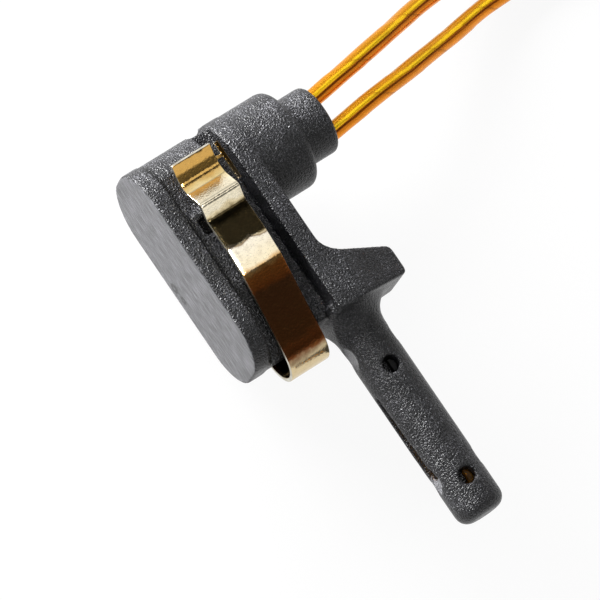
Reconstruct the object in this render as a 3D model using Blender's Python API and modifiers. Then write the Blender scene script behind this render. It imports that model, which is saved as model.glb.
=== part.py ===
"""Brake pad wear sensor: a plastic body with a probe pin, a spring clip, two leads and their plug.

Sizes are measured from three places of the plastic body: along X from the flange plate's outer face,
along Y from the axis of the cable boss, and along Z from the mid-plane that both halves mirror. The leads
leave along +X, the probe pin points along -Y, and the part lies on its side, on the clip's lower leg.
"""

import math

import bmesh
import bpy
from mathutils import Matrix, Vector

MM = 0.001

# Clearances
SEAT_GAP = 0.3 * MM
WIRE_GAP = 0.1 * MM

# Flange plate
PLATE_THICKNESS = 1.75 * MM
PLATE_WIDTH = 11.0 * MM
PLATE_TOP = 4.87 * MM
PLATE_BOTTOM = 17.45 * MM
PLATE_CORNER = 4.4 * MM
PLATE_TOP_CORNER = 4.85 * MM
PLATE_ROUND = 0.3 * MM

# Neck behind the plate, round which the clip lies, and the groove between it and the wall
NECK_RADIUS = 5.0 * MM
NECK_TOP = 4.88 * MM
NECK_BOTTOM = 17.35 * MM
NECK_END_ROUND = 1.5 * MM
NECK_LENGTH = 5.75 * MM
SEAT_RISE = 4.4 * MM
SEAT_BOTTOM = 1.6 * MM
SHOULDER_TOP = 2.4 * MM
GROOVE_WIDTH = 1.8 * MM
CORE_THICKNESS = 4.4 * MM
POCKET_TOP = 2.9 * MM
POCKET_BOTTOM = 4.6 * MM
POCKET_DEPTH = 1.0 * MM
POCKET_EDGE = 0.3 * MM

# Wall
WALL_THICKNESS = 1.9 * MM
WALL_WIDTH = 10.2 * MM
WALL_BOTTOM = 17.05 * MM
WALL_ROUND = 0.5 * MM
WALL_CORNER = 0.6 * MM

# Round hub and cable boss
HUB_RADIUS = 5.03 * MM
HUB_REACH = 5.15 * MM
HUB_ROUND = 0.9 * MM
BOSS_RADIUS = 3.47 * MM
BOSS_REACH = 3.4 * MM
BOSS_ROUND = 0.5 * MM

# Arm
ARM_REACH = 6.25 * MM
ARM_SHOULDER = 9.8 * MM
ARM_FILLET = 2.6 * MM
ARM_SLOPE = math.radians(21.8)
ARM_TIP_CORNER = 0.8 * MM
ARM_FOOT_CORNER = 0.5 * MM
ARM_TIP_WIDTH = 5.6 * MM
ARM_ROUND = 0.45 * MM
ARM_INSET = 0.03 * MM

# Probe pin
PIN_RADIUS = 2.5 * MM
PIN_OFFSET = 11.3 * MM
PIN_TIP = 39.7 * MM
PIN_TIP_ROUND = 1.25 * MM
PIN_ROOT_FILLET = 2.3 * MM
ROOT_FLAT = 0.03 * MM
HOLE_RADIUS = 0.83 * MM
HOLE_DEPTH = 1.9 * MM
HOLE_PLACES = (23.4 * MM, 35.9 * MM)
RECESS_RADIUS = 1.2 * MM
RECESS_DEPTH = 0.4 * MM
RECESS_PLACES = (20.9 * MM, 34.7 * MM)
SLOT_TOP = 25.2 * MM
SLOT_BOTTOM = 34.6 * MM
SLOT_TOP_WIDTH = 0.5 * MM
SLOT_BOTTOM_WIDTH = 1.7 * MM

# Spring clip
CLIP_SHEET = 0.4 * MM
CLIP_WIDTH = 4.3 * MM
CLIP_END = 2.45 * MM
CLIP_END_RISE = 6.45 * MM
CLIP_DIP = 0.25 * MM
CLIP_DIP_RISE = 4.95 * MM
CLIP_RAMP = 0.9 * MM
CLIP_RAMP_RISE = 5.45 * MM
CLIP_CREST = 2.25 * MM
CLIP_CREST_RISE = 7.15 * MM
CLIP_LAND = 3.7 * MM
CLIP_LAND_RISE = 6.05 * MM
CLIP_KNEE = 6.95 * MM
CLIP_KNEE_RISE = 6.0 * MM
CLIP_HEEL = 9.6 * MM
CLIP_HEEL_RISE = 5.75 * MM
CLIP_BEND = 16.65 * MM
CLIP_BEND_RADIUS = 2.7 * MM
CLIP_PLACE = 1.3 * MM
CLIP_CREASE = 0.45 * MM
FINGER_WIDTH = 0.7 * MM
FINGER_GAP = 0.5 * MM
FINGER_END = 1.6 * MM
FINGER_WEB_TOP = 1.45 * MM
FINGER_WEB_BOTTOM = 0.75 * MM

# Wire, which has a film wrapped round it outside the body
WIRE_RADIUS = 0.92 * MM
WRAP_THICKNESS = 0.12 * MM
LEAD_PITCH = 3.6 * MM
LOOP_PITCH = 2.0 * MM
LOOP_SHIFT = 2.6 * MM
LOOP_TIP = 37.9 * MM
LOOP_BEND = 1.8 * MM

# Plug on the leads
PLUG_START = 76.0 * MM
PLUG_SIDE = -1.5 * MM
PLUG_LENGTH = 14.5 * MM
PLUG_WIDTH = 13.0 * MM
PLUG_HEIGHT = 9.2 * MM
PLUG_CORNER = 2.6 * MM
PLUG_ROUND = 0.5 * MM
PLUG_PITCH = 5.2 * MM
NOSE_LENGTH = 7.5 * MM
NOSE_WIDTH = 10.0 * MM
NOSE_HEIGHT = 5.6 * MM
NOSE_CORNER = 2.0 * MM
LATCH_LENGTH = 4.0 * MM
LATCH_WIDTH = 3.6 * MM
LATCH_RISE = 0.9 * MM
LATCH_END = 6.5 * MM
NOSE_SEAL_WIDTH = 1.6 * MM
NOSE_SEAL_HEIGHT = 0.7 * MM
SEAL_RADIUS = 2.0 * MM
SEAL_LENGTH = 4.4 * MM
SEAL_RIB = 0.22 * MM
SEAL_RIBS = 3
CRIMP_RADIUS = 1.4 * MM
CRIMP_LENGTH = 3.6 * MM
SOCKET_RADIUS = 0.85 * MM
SOCKET_BORE = 0.5 * MM
TERMINAL_LENGTH = 15.0 * MM
TERMINAL_SHOULDER = 0.5 * MM
SOCKET_DEPTH = 7.0 * MM
MOUTH_LIP = 0.2 * MM
LOCK_PLACE = 10.2 * MM
LOCK_LENGTH = 1.8 * MM
LOCK_WIDTH = 8.6 * MM
LOCK_GAP = 0.2 * MM

# How finely rounds are divided
TURN_STEPS = 48
DRILL_STEPS = 24
ARC_STEP = math.radians(10)
BEVEL_SEGMENTS = 2
WIRE_SPACING = 2.2

# Where the pieces end, from the sizes above
NECK_END = PLATE_THICKNESS + NECK_LENGTH
WALL_START = NECK_END + GROOVE_WIDTH
WALL_END = WALL_START + WALL_THICKNESS
HUB_END = WALL_END + HUB_REACH
BOSS_END = HUB_END + BOSS_REACH
ARM_END = WALL_END + ARM_REACH
CLIP_START = PLATE_THICKNESS + CLIP_PLACE
CLIP_SIDE = CLIP_START + CLIP_WIDTH
LOOP_RADIUS = WIRE_RADIUS - WRAP_THICKNESS
TUNNEL_RADIUS = LOOP_RADIUS + WIRE_GAP
NOSE_START = PLUG_START + PLUG_LENGTH
TERMINAL_START = PLUG_START + SEAL_LENGTH + 2 * SEAT_GAP

# The leads' routes, as distances along X, Y and up from the ground, in millimetres
UPPER_ROUTE = (
    (24.5, 2.55, 7.1),
    (29.5, 3.46, 5.9),
    (35.5, 4.66, 3.8),
    (41.5, 5.3, 1.9),
    (47.0, 5.2, 1.1),
    (53.5, 4.3, 1.0),
    (60.0, 2.9, 1.15),
    (66.0, 1.8, 2.3),
    (71.3, 1.2, 3.7),
)
LOWER_ROUTE = (
    (24.5, -1.16, 7.1),
    (30.0, -0.43, 5.9),
    (36.0, 0.52, 3.8),
    (42.0, 1.55, 1.9),
    (47.5, 1.75, 1.1),
    (54.0, 0.9, 1.0),
    (60.5, -0.9, 1.15),
    (66.3, -2.9, 2.3),
    (71.5, -3.9, 3.7),
)

# Turns that lay a flat outline's two directions and its thickness along the part's axes
ALONG = {
    "X": Matrix(((0, 0, 1, 0), (1, 0, 0, 0), (0, 1, 0, 0), (0, 0, 0, 1))),
    "Y": Matrix(((0, 1, 0, 0), (0, 0, 1, 0), (1, 0, 0, 0), (0, 0, 0, 1))),
    "Z": Matrix.Identity(4),
}


def clear_scene():
    for old in list(bpy.data.objects):
        bpy.data.objects.remove(old)


def new_collection(name):
    collection = bpy.data.collections.new(name)
    bpy.context.scene.collection.children.link(collection)
    return collection


def new_material(name, colour, roughness, metallic=0.0):
    material = bpy.data.materials.new(name)
    material.use_nodes = True
    shader = material.node_tree.nodes["Principled BSDF"]
    shader.inputs["Base Color"].default_value = (*colour, 1.0)
    shader.inputs["Roughness"].default_value = roughness
    shader.inputs["Metallic"].default_value = metallic
    material.diffuse_color = (*colour, 1.0)
    return material


def as_mesh(obj, name):
    """What a curve or a modified mesh comes out as: welded, facing outwards and in its place."""
    bpy.context.view_layer.update()
    graph = bpy.context.evaluated_depsgraph_get()
    mesh = bpy.data.meshes.new_from_object(obj.evaluated_get(graph))
    mesh.transform(obj.matrix_world)
    bpy.data.objects.remove(obj)
    shape = bmesh.new()
    shape.from_mesh(mesh)
    bmesh.ops.remove_doubles(shape, verts=shape.verts, dist=MM / 1000)
    bmesh.ops.recalc_face_normals(shape, faces=shape.faces)
    shape.to_mesh(mesh)
    shape.free()
    made = bpy.data.objects.new(name, mesh)
    TOOLS.objects.link(made)
    made.hide_render = True
    made.display_type = "WIRE"
    return made


def curve_object(points, closed, dimensions):
    curve = bpy.data.curves.new("outline", "CURVE")
    curve.dimensions = dimensions
    spline = curve.splines.new("POLY")
    spline.points.add(len(points) - 1)
    for point, place in zip(spline.points, points):
        point.co = (*place, *([0.0] * (3 - len(place))), 1.0)
    spline.use_cyclic_u = closed
    obj = bpy.data.objects.new("outline", curve)
    TOOLS.objects.link(obj)
    return obj


def prism(name, outline, start, end, axis):
    """A flat outline given a thickness from start to end along an axis."""
    obj = curve_object(outline, True, "2D")
    obj.data.fill_mode = "BOTH"
    obj.data.extrude = (end - start) / 2
    obj.matrix_world = ALONG[axis] @ Matrix.Translation((0, 0, (start + end) / 2))
    return as_mesh(obj, name)


def rounded(solid, width):
    """The solid with a round of this width on each edge sharper than 40 degrees."""
    name = solid.name
    bevel = solid.modifiers.new("edge round", "BEVEL")
    bevel.width = width
    bevel.segments = BEVEL_SEGMENTS
    bevel.limit_method = "ANGLE"
    bevel.angle_limit = math.radians(40)
    return as_mesh(solid, name)


def turned(name, profile, centre, axis, steps=TURN_STEPS):
    """A profile of (radius, height) turned round an axis through the centre, its heights along that axis."""
    mesh = bpy.data.meshes.new(name)
    edges = [(i, i + 1) for i in range(len(profile) - 1)]
    mesh.from_pydata([(radius, 0, height) for radius, height in profile], edges, [])
    obj = bpy.data.objects.new(name, mesh)
    TOOLS.objects.link(obj)
    screw = obj.modifiers.new("turn", "SCREW")
    screw.steps = screw.render_steps = steps
    screw.use_merge_vertices = True
    screw.merge_threshold = MM / 1000
    obj.matrix_world = Matrix.Translation(centre) @ ALONG[axis]
    return as_mesh(obj, name)


def drill(name, radius, ends, centre, axis):
    """A plain cylinder between two heights along an axis, in either order."""
    low, high = sorted(ends)
    return turned(name, [(0, high), (radius, high), (radius, low), (0, low)], centre, axis, DRILL_STEPS)


def tube(name, points, radius, resolution):
    obj = curve_object(points, False, "3D")
    obj.data.bevel_depth = radius
    obj.data.bevel_resolution = resolution
    obj.data.use_fill_caps = True
    return as_mesh(obj, name)


def arc(centre, radius, start, end, step=ARC_STEP):
    """Points of a flat arc from one angle to another, both ends included."""
    count = max(2, math.ceil(abs(end - start) / step))
    angles = [start + (end - start) * i / count for i in range(count + 1)]
    return [(centre[0] + radius * math.cos(a), centre[1] + radius * math.sin(a)) for a in angles]


def rounded_corners(corners, radii, step=ARC_STEP, closed=True):
    """A flat outline through corners, each rounded by its own radius. A radius of 0 keeps the corner."""
    points = []
    count = len(corners)
    for i, (corner, radius) in enumerate(zip(corners, radii)):
        if radius == 0 or (not closed and i in (0, count - 1)):
            points.append(tuple(corner))
            continue
        here = Vector(corner)
        back = (Vector(corners[i - 1]) - here).normalized()
        ahead = (Vector(corners[(i + 1) % count]) - here).normalized()
        half = math.acos(max(-1.0, min(1.0, back.dot(ahead)))) / 2
        centre = here + (back + ahead).normalized() * (radius / math.sin(half))
        first = here + back * (radius / math.tan(half)) - centre
        last = here + ahead * (radius / math.tan(half)) - centre
        start = math.atan2(first.y, first.x)
        turn = (math.atan2(last.y, last.x) - start + math.pi) % (2 * math.pi) - math.pi
        points += arc(centre, radius, start, start + turn, step)
    return points


def box_outline(low, high, left, right, corner=0.0):
    corners = [(low, left), (high, left), (high, right), (low, right)]
    return rounded_corners(corners, [corner] * 4)


def smooth_route(points, spacing):
    """A smooth curve through all points at even steps. A stretch is a cubic set by its four nearest."""
    places = [Vector(p) for p in points]
    places = [2 * places[0] - places[1], *places, 2 * places[-1] - places[-2]]
    route = [places[1]]
    for before, start, end, after in zip(places, places[1:], places[2:], places[3:]):
        count = max(1, round((end - start).length / spacing))
        for i in range(1, count + 1):
            t = i / count
            even = 2 * start + (end - before) * t
            bend = (2 * before - 5 * start + 4 * end - after) * t**2
            twist = (3 * start - before - 3 * end + after) * t**3
            route.append((even + bend + twist) / 2)
    return route


def combine(target, tool, operation):
    change = target.modifiers.new(tool.name, "BOOLEAN")
    change.operation = operation
    change.solver = "EXACT"
    change.object = tool


def finish(obj, name, material):
    """Makes a solid one of the part's named pieces, placed from the part's own measuring point."""
    solid = as_mesh(obj, name)
    TOOLS.objects.unlink(solid)
    PARTS.objects.link(solid)
    solid.name = name
    solid.hide_render = False
    solid.display_type = "TEXTURED"
    solid.data.materials.clear()
    solid.data.materials.append(material)
    solid.data.shade_smooth()
    solid.data.set_sharp_from_angle(angle=math.radians(32))
    solid.parent = MEASURING_POINT


def wall_blank():
    half = WALL_WIDTH / 2
    top = arc((0, 0), half, -math.pi / 2, math.pi / 2)
    sides = [(0, half), (-WALL_BOTTOM, half), (-WALL_BOTTOM, -half), (0, -half)]
    foot = rounded_corners(sides, [0, WALL_CORNER, WALL_CORNER, 0])
    return rounded(prism("wall", top + foot[1:-1], WALL_START, WALL_END, "X"), WALL_ROUND)


def arm_blank():
    """The arm's outline seen from above, cut by its outline seen along the pin, which thins to its tip."""
    root = WALL_START + WALL_THICKNESS / 3
    slope_start = ARM_SHOULDER + ARM_FILLET * math.tan((math.pi / 2 - ARM_SLOPE) / 2)
    corners = [
        (root, ARM_ROUND - ARM_SHOULDER),
        (WALL_END, ARM_ROUND - ARM_SHOULDER),
        (WALL_END, -slope_start),
        (ARM_END, -slope_start - ARM_REACH * math.tan(ARM_SLOPE)),
        (ARM_END, -WALL_BOTTOM),
        (root, -WALL_BOTTOM),
    ]
    outline = rounded_corners(corners, [0, 0, ARM_FILLET, ARM_TIP_CORNER, ARM_FOOT_CORNER, 0])
    half = WALL_WIDTH / 2 - ARM_INSET
    arm = prism("arm", outline, -half, half, "Z")
    half_tip = ARM_TIP_WIDTH / 2
    past_side = half + ARM_ROUND
    past_tip = ARM_END + ARM_ROUND
    taper = [
        (half_tip, past_tip),
        (past_side, WALL_END),
        (past_side, root - ARM_ROUND),
        (-past_side, root - ARM_ROUND),
        (-past_side, WALL_END),
        (-half_tip, past_tip),
    ]
    top = 2 * ARM_ROUND - ARM_SHOULDER
    combine(arm, prism("arm taper", taper, -WALL_BOTTOM - ARM_ROUND, top, "Y"), "INTERSECT")
    return rounded(as_mesh(arm, "arm"), ARM_ROUND)


def hub_blank():
    """The hub and the cable boss, turned in one piece round the boss's axis."""
    start = WALL_END - WALL_ROUND - SEAT_GAP
    boss_corner = (BOSS_RADIUS - BOSS_ROUND, BOSS_END - BOSS_ROUND)
    boss_rim = arc(boss_corner, BOSS_ROUND, math.pi / 2, 0, 2 * ARC_STEP)
    hub_corner = (HUB_RADIUS - HUB_ROUND, HUB_END - HUB_ROUND)
    hub_rim = arc(hub_corner, HUB_ROUND, math.pi / 2, 0, 2 * ARC_STEP)
    profile = [(0, BOSS_END), *boss_rim, (BOSS_RADIUS, HUB_END), *hub_rim]
    profile += [(HUB_RADIUS, start), (0, start)]
    return turned("hub", profile, (0, 0, 0), "X")


def pin_blank():
    """The probe pin, turned round its own axis. Its flared root is flat on the clip's side."""
    top = PIN_ROOT_FILLET / 2 - WALL_BOTTOM
    flare_radius = PIN_RADIUS + PIN_ROOT_FILLET
    flare_centre = (flare_radius, -WALL_BOTTOM - PIN_ROOT_FILLET)
    flare = arc(flare_centre, PIN_ROOT_FILLET, math.pi / 2, math.pi, 2 * ARC_STEP)
    tip_centre = (PIN_RADIUS - PIN_TIP_ROUND, PIN_TIP_ROUND - PIN_TIP)
    tip = arc(tip_centre, PIN_TIP_ROUND, 0, -math.pi / 2, 2 * ARC_STEP)
    profile = [(0, top), (flare_radius, top), *flare, *tip, (0, -PIN_TIP)]
    pin = turned("pin", profile, (PIN_OFFSET, 0, 0), "Y")
    flat = PIN_OFFSET - PIN_RADIUS - ROOT_FLAT
    trim = box_outline(-2 * flare_radius, 2 * flare_radius, WALL_START - 2 * flare_radius, flat)
    low = -WALL_BOTTOM - 2 * PIN_ROOT_FILLET
    combine(pin, prism("root trim", trim, low, top + SEAT_GAP, "Y"), "DIFFERENCE")
    return as_mesh(pin, "pin")


def neck_outline():
    """The neck seen along X: a round top, a flat seat under the clip's dip, and the taper of its legs."""
    seat_angle = math.asin(SEAT_RISE / NECK_RADIUS)
    centre = NECK_TOP - NECK_RADIUS
    heel, foot = Vector((-CLIP_HEEL, CLIP_HEEL_RISE)), Vector(clip_leg()[1][0])
    fall = (heel.y - foot.y) / (heel.x - foot.x)
    clearance = (CLIP_SHEET / 2 + SEAT_GAP) * math.sqrt(1 + fall**2)

    def taper_rise(along):
        return heel.y + (along - heel.x) * fall - clearance

    taper_start = heel.x + (NECK_RADIUS + clearance - heel.y) / fall
    side = [
        (-SEAT_BOTTOM, SEAT_RISE),
        (-SHOULDER_TOP, NECK_RADIUS),
        (taper_start, NECK_RADIUS),
        (-NECK_BOTTOM, taper_rise(-NECK_BOTTOM)),
    ]
    other = [(along, -rise) for along, rise in reversed(side)]
    top = arc((centre, 0), NECK_RADIUS, -seat_angle, seat_angle)
    lower = rounded_corners(side + other, [0, 0, 0, NECK_END_ROUND, NECK_END_ROUND, 0, 0, 0])
    return top + lower


def side_cuts(side):
    """One side's pocket under the clip's crest, pin holes and pin recesses."""
    pocket_sides = sorted((side * (NECK_RADIUS - POCKET_DEPTH), side * (NECK_RADIUS + SEAT_GAP)))
    pocket = box_outline(-POCKET_BOTTOM, -POCKET_TOP, *pocket_sides)
    cuts = [prism("pocket", pocket, CLIP_START - POCKET_EDGE, CLIP_SIDE, "X")]
    past_pin = PIN_RADIUS + SEAT_GAP
    for place in HOLE_PLACES:
        ends = (side * (PIN_RADIUS - HOLE_DEPTH), side * past_pin)
        cuts.append(drill("pin hole", HOLE_RADIUS, ends, (PIN_OFFSET, -place, 0), "Z"))
    for place in RECESS_PLACES:
        ends = (PIN_OFFSET + side * (PIN_RADIUS - RECESS_DEPTH), PIN_OFFSET + side * past_pin)
        cuts.append(drill("pin recess", RECESS_RADIUS, ends, (0, -place, 0), "X"))
    return cuts


def slot_cut():
    """The slot that widens down the pin's clip side and shows the wire inside."""
    slot = [
        (-SLOT_TOP, -SLOT_TOP_WIDTH / 2),
        (-SLOT_TOP, SLOT_TOP_WIDTH / 2),
        (-SLOT_BOTTOM, SLOT_BOTTOM_WIDTH / 2),
        (-SLOT_BOTTOM, -SLOT_BOTTOM_WIDTH / 2),
    ]
    return prism("pin slot", slot, PIN_OFFSET - PIN_RADIUS - SEAT_GAP, PIN_OFFSET - LOOP_PITCH / 2, "X")


def loop_route(overrun):
    """The wire's way from one lead's hole, down the pin, round its end and back to the other lead's hole."""
    half_lead = LEAD_PITCH / 2
    half_loop = LOOP_PITCH / 2
    far_run = PIN_OFFSET - half_loop
    near_run = PIN_OFFSET + half_loop
    jog_top = -ARM_SHOULDER - ARM_FILLET / 2
    jog_foot = -WALL_BOTTOM - SEAT_GAP
    turn_centre = half_loop - LOOP_TIP + LOOP_RADIUS
    bend = LOOP_BEND
    down = [
        (BOSS_END + overrun, half_lead),
        (far_run - LOOP_SHIFT, half_lead),
        (far_run - LOOP_SHIFT, jog_top),
        (far_run, jog_foot),
        (far_run, turn_centre),
    ]
    up = [
        (near_run, turn_centre),
        (near_run, jog_foot),
        (near_run - LOOP_SHIFT, jog_top),
        (near_run - LOOP_SHIFT, -half_lead),
        (BOSS_END + overrun, -half_lead),
    ]
    down = rounded_corners(down, [0, bend, 2 * bend, 2 * bend, 0], 2 * ARC_STEP, closed=False)
    up = rounded_corners(up, [0, 2 * bend, 2 * bend, bend, 0], 2 * ARC_STEP, closed=False)
    turn = arc((PIN_OFFSET, turn_centre), half_loop, math.pi, 2 * math.pi, 2 * ARC_STEP)
    return [(x, y, 0.0) for x, y in down[:-1] + turn + up[1:]]


def make_body(material):
    half = PLATE_WIDTH / 2
    corners = [(-PLATE_BOTTOM, -half), (PLATE_TOP, -half), (PLATE_TOP, half), (-PLATE_BOTTOM, half)]
    corner_radii = [PLATE_CORNER, PLATE_TOP_CORNER, PLATE_TOP_CORNER, PLATE_CORNER]
    plate_outline = rounded_corners(corners, corner_radii)
    body = rounded(prism("plate", plate_outline, 0, PLATE_THICKNESS, "X"), PLATE_ROUND)
    bury = PLATE_ROUND + SEAT_GAP
    neck = prism("neck", neck_outline(), PLATE_THICKNESS - bury, NECK_END, "X")
    half_core = CORE_THICKNESS / 2
    core_outline = box_outline(WALL_ROUND - WALL_BOTTOM, NECK_TOP - WALL_ROUND, -half_core, half_core)
    core = prism("core", core_outline, NECK_END - bury, WALL_START + bury, "X")
    for blank in (neck, core, wall_blank(), arm_blank(), hub_blank(), pin_blank()):
        combine(body, blank, "UNION")
    for cut in side_cuts(1) + side_cuts(-1):
        combine(body, cut, "DIFFERENCE")
    combine(body, slot_cut(), "DIFFERENCE")
    combine(body, tube("wire tunnel", loop_route(SEAT_GAP), TUNNEL_RADIUS, 2), "DIFFERENCE")
    finish(body, "sensor_body", material)


def clip_leg():
    """The upper leg's centre line from its free end to its heel, along Y and up from the mid-plane."""
    corners = [
        (CLIP_END, CLIP_END_RISE),
        (CLIP_DIP, CLIP_DIP_RISE),
        (-CLIP_RAMP, CLIP_RAMP_RISE),
        (-CLIP_CREST, CLIP_CREST_RISE),
        (-CLIP_LAND, CLIP_LAND_RISE),
        (-CLIP_KNEE, CLIP_KNEE_RISE),
        (-CLIP_HEEL, CLIP_HEEL_RISE),
    ]
    to_heel = Vector(corners[-1]) - Vector((-CLIP_BEND, 0))
    lean = math.atan2(to_heel.y, to_heel.x) + math.acos(CLIP_BEND_RADIUS / to_heel.length)
    bend = arc((-CLIP_BEND, 0), CLIP_BEND_RADIUS, lean, math.pi)
    crease = CLIP_CREASE
    radii = [0, crease, crease, crease, 2 * crease, crease, 2 * crease, 0]
    return rounded_corners([*corners, bend[0]], radii, 2 * ARC_STEP, closed=False), bend


def clip_cut(start, end, low, high):
    """A block that takes away both legs between two places along X and two along Y."""
    reach = CLIP_REACH + SEAT_GAP
    return prism("clip cut", box_outline(low, high, -reach, reach), start, end, "X")


def make_clip(material):
    """One strip bent to a hairpin with two like legs, each with a slit that leaves a narrow finger."""
    leg, bend = clip_leg()
    upper = leg[:-1] + bend
    lower = [(along, -rise) for along, rise in reversed(upper[:-1])]
    finger_side = WALL_START - FINGER_GAP
    strip = curve_object(upper + lower, False, "2D")
    strip.data.extrude = (finger_side - CLIP_START) / 2
    strip.matrix_world = ALONG["X"] @ Matrix.Translation((0, 0, (CLIP_START + finger_side) / 2))
    sheet = as_mesh(strip, "clip")
    thicken = sheet.modifiers.new("sheet", "SOLIDIFY")
    thicken.thickness = CLIP_SHEET
    thicken.offset = 0
    thicken.use_even_offset = True
    clip = as_mesh(sheet, "clip")
    past_end = CLIP_END + SEAT_GAP
    past_bend = -CLIP_BEND - CLIP_BEND_RADIUS - SEAT_GAP
    slit_side = finger_side - FINGER_WIDTH
    cuts = [
        clip_cut(CLIP_SIDE, finger_side + SEAT_GAP, past_bend, -FINGER_END),
        clip_cut(CLIP_SIDE, slit_side, -FINGER_END - SEAT_GAP, FINGER_WEB_BOTTOM),
        clip_cut(CLIP_SIDE, slit_side, FINGER_WEB_TOP, past_end),
    ]
    for cut in cuts:
        combine(clip, cut, "DIFFERENCE")
    finish(clip, "spring_clip", material)


def lead_end(side):
    """Where a lead's conductor meets its terminal, inside the plug."""
    along = TERMINAL_START + CRIMP_LENGTH - 2 * SEAT_GAP
    return Vector((along, PLUG_SIDE + side * PLUG_PITCH / 2, PLUG_LEVEL))


def make_lead(name, side, route, material):
    start = Vector((BOSS_END + SEAT_GAP / 2, side * LEAD_PITCH / 2, 0))
    end = lead_end(side)
    at_seal = Vector((PLUG_START, end.y, end.z))
    middle = [Vector((x * MM, y * MM, up * MM - CLIP_REACH)) for x, y, up in route]
    points = smooth_route([start, *middle, at_seal, end], WIRE_SPACING * MM)
    finish(tube(name, points, WIRE_RADIUS, 2), name, material)


def bore_profile():
    """The plug's stepped bore for one terminal: mouth, socket room, crimp room and seal room."""
    nose_face = NOSE_START + NOSE_LENGTH
    mouth = SOCKET_RADIUS - MOUTH_LIP
    room = SOCKET_RADIUS + SEAT_GAP
    crimp_room = CRIMP_RADIUS + SEAT_GAP
    seal_room = SEAL_RADIUS + SEAL_RIB
    shoulder = TERMINAL_START + CRIMP_LENGTH + TERMINAL_SHOULDER + SEAT_GAP
    return [
        (0, nose_face + SEAT_GAP),
        (mouth, nose_face + SEAT_GAP),
        (mouth, nose_face - MOUTH_LIP),
        (room, nose_face - 2 * MOUTH_LIP),
        (room, shoulder),
        (crimp_room, shoulder),
        (crimp_room, TERMINAL_START - SEAT_GAP),
        (seal_room, TERMINAL_START - SEAT_GAP),
        (seal_room, PLUG_START - SEAT_GAP),
        (0, PLUG_START - SEAT_GAP),
    ]


def make_plug(material):
    """The plug's housing: a rounded block, a slimmer nose and a latch bump, bored for both terminals."""
    half = PLUG_HEIGHT / 2
    low_side, high_side = PLUG_SIDE - PLUG_WIDTH / 2, PLUG_SIDE + PLUG_WIDTH / 2
    block_outline = box_outline(low_side, high_side, -half, half, PLUG_CORNER)
    block = rounded(prism("plug block", block_outline, PLUG_START, NOSE_START, "X"), PLUG_ROUND)
    nose_root, nose_end = NOSE_START - 2 * PLUG_ROUND, NOSE_START + NOSE_LENGTH
    nose = rounded(prism("plug nose", nose_outline(0), nose_root, nose_end, "X"), PLUG_ROUND / 2)
    latch_end = NOSE_START - LATCH_END
    ramp = [
        (half - LATCH_RISE, latch_end - LATCH_LENGTH),
        (half - LATCH_RISE, latch_end),
        (half + LATCH_RISE, latch_end - LATCH_LENGTH / 2),
        (half + LATCH_RISE, latch_end - LATCH_LENGTH),
    ]
    latch = prism("plug latch", ramp, PLUG_SIDE - LATCH_WIDTH / 2, PLUG_SIDE + LATCH_WIDTH / 2, "Y")
    for blank in (nose, latch):
        combine(block, blank, "UNION")
    plug = as_mesh(block, "plug")
    plug.data.transform(Matrix.Translation((0, 0, PLUG_LEVEL)))
    for side in (1, -1):
        centre = (0, PLUG_SIDE + side * PLUG_PITCH / 2, PLUG_LEVEL)
        combine(plug, turned("terminal bore", bore_profile(), centre, "X", DRILL_STEPS), "DIFFERENCE")
    combine(plug, lock_block("lock slot", LOCK_GAP), "DIFFERENCE")
    finish(plug, "plug_housing", material)


def nose_outline(extra):
    """The nose's outline seen end on, this much larger all round."""
    half_width = NOSE_WIDTH / 2 + extra
    half_height = NOSE_HEIGHT / 2 + extra
    low_side, high_side = PLUG_SIDE - half_width, PLUG_SIDE + half_width
    return box_outline(low_side, high_side, -half_height, half_height, NOSE_CORNER + extra)


def lock_block(name, gap):
    """The terminal lock's block, this much larger all round. It goes in from above, down to the sockets."""
    start = PLUG_START + LOCK_PLACE
    reach = LOCK_WIDTH / 2 + gap
    outline = box_outline(start - gap, start + LOCK_LENGTH + gap, PLUG_SIDE - reach, PLUG_SIDE + reach)
    bottom = PLUG_LEVEL + SOCKET_RADIUS + SEAT_GAP
    top = PLUG_LEVEL + PLUG_HEIGHT / 2
    return prism(name, outline, bottom - gap, top + 2 * gap if gap else top, "Z")


def make_nose_seal(material):
    end = NOSE_START + NOSE_SEAL_WIDTH
    seal = prism("nose seal", nose_outline(NOSE_SEAL_HEIGHT), NOSE_START + SEAT_GAP, end, "X")
    inside = prism("nose seal inside", nose_outline(SEAT_GAP / 2), NOSE_START, end + SEAT_GAP, "X")
    combine(seal, inside, "DIFFERENCE")
    seal = as_mesh(seal, "nose seal")
    seal.data.transform(Matrix.Translation((0, 0, PLUG_LEVEL)))
    finish(seal, "nose_seal", material)


def make_wire_seal(name, side, material):
    """A short rubber sleeve with rounded ribs round it."""
    inner = WIRE_RADIUS + WIRE_GAP
    start = PLUG_START + SEAT_GAP
    pitch = SEAL_LENGTH / SEAL_RIBS
    outer = []
    for i in range(SEAL_RIBS * 6 + 1):
        rise = SEAL_RIB * (1 - math.cos(2 * math.pi * i / 6)) / 2
        outer.append((SEAL_RADIUS - SEAL_RIB + rise, start + SEAL_LENGTH - i * pitch / 6))
    profile = [(inner, start + SEAL_LENGTH), *outer, (inner, start), (inner, start + SEAL_LENGTH)]
    centre = (0, PLUG_SIDE + side * PLUG_PITCH / 2, PLUG_LEVEL)
    finish(turned(name, profile, centre, "X", DRILL_STEPS), name, material)


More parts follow.
